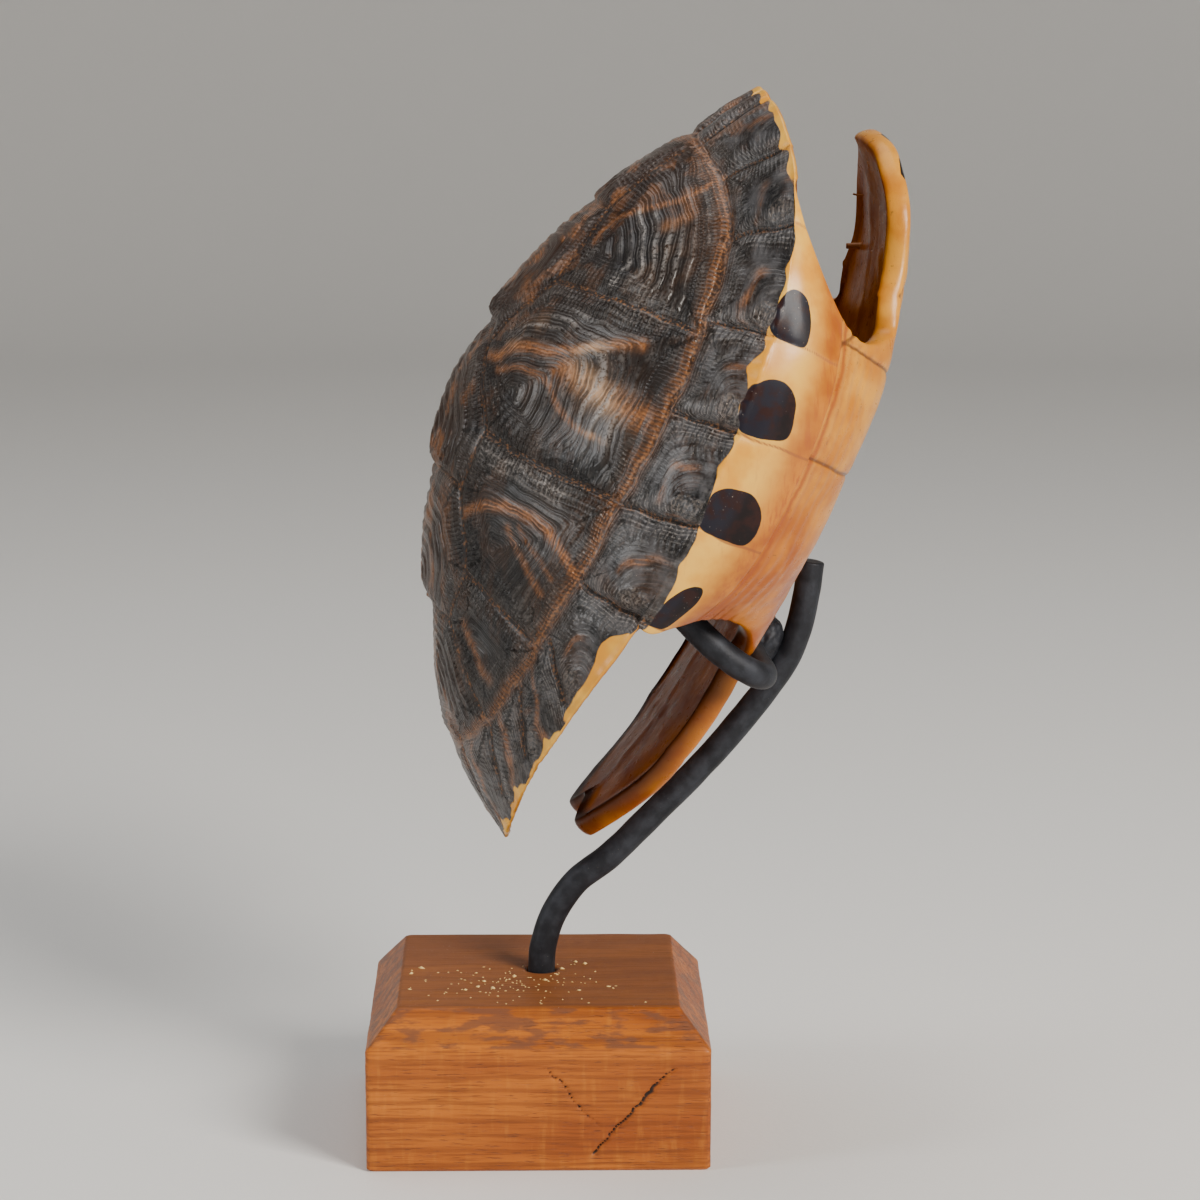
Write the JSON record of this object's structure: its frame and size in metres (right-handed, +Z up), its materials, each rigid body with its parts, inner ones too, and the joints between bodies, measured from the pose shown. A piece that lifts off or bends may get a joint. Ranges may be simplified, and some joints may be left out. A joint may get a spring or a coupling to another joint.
{
  "type": "turtle shell",
  "caption": "Dried pond turtle shell, back plate and belly plate joined by bridges, held head end up by a hooked black steel rod in a chamfered wooden block.",
  "frame": {"origin": "centre of the wooden block's underside", "axes": "+Z up, +X toward the side that the head end of the shell leans to, +Y away from the viewer; the shell's midline plane is close to the XZ plane"},
  "size_m": [0.1152, 0.1239, 0.2299],
  "materials": {
    "shell_horn": "satin horn, near black above and amber below",
    "black_steel": "matt blue-black",
    "block_wood": "satin red-brown"
  },
  "bodies": {
    "root": {"turtle_shell": "shell_horn", "support_rod": "black_steel", "hook_bar": "black_steel", "wood_base": "block_wood"}
  },
  "joints": []
}
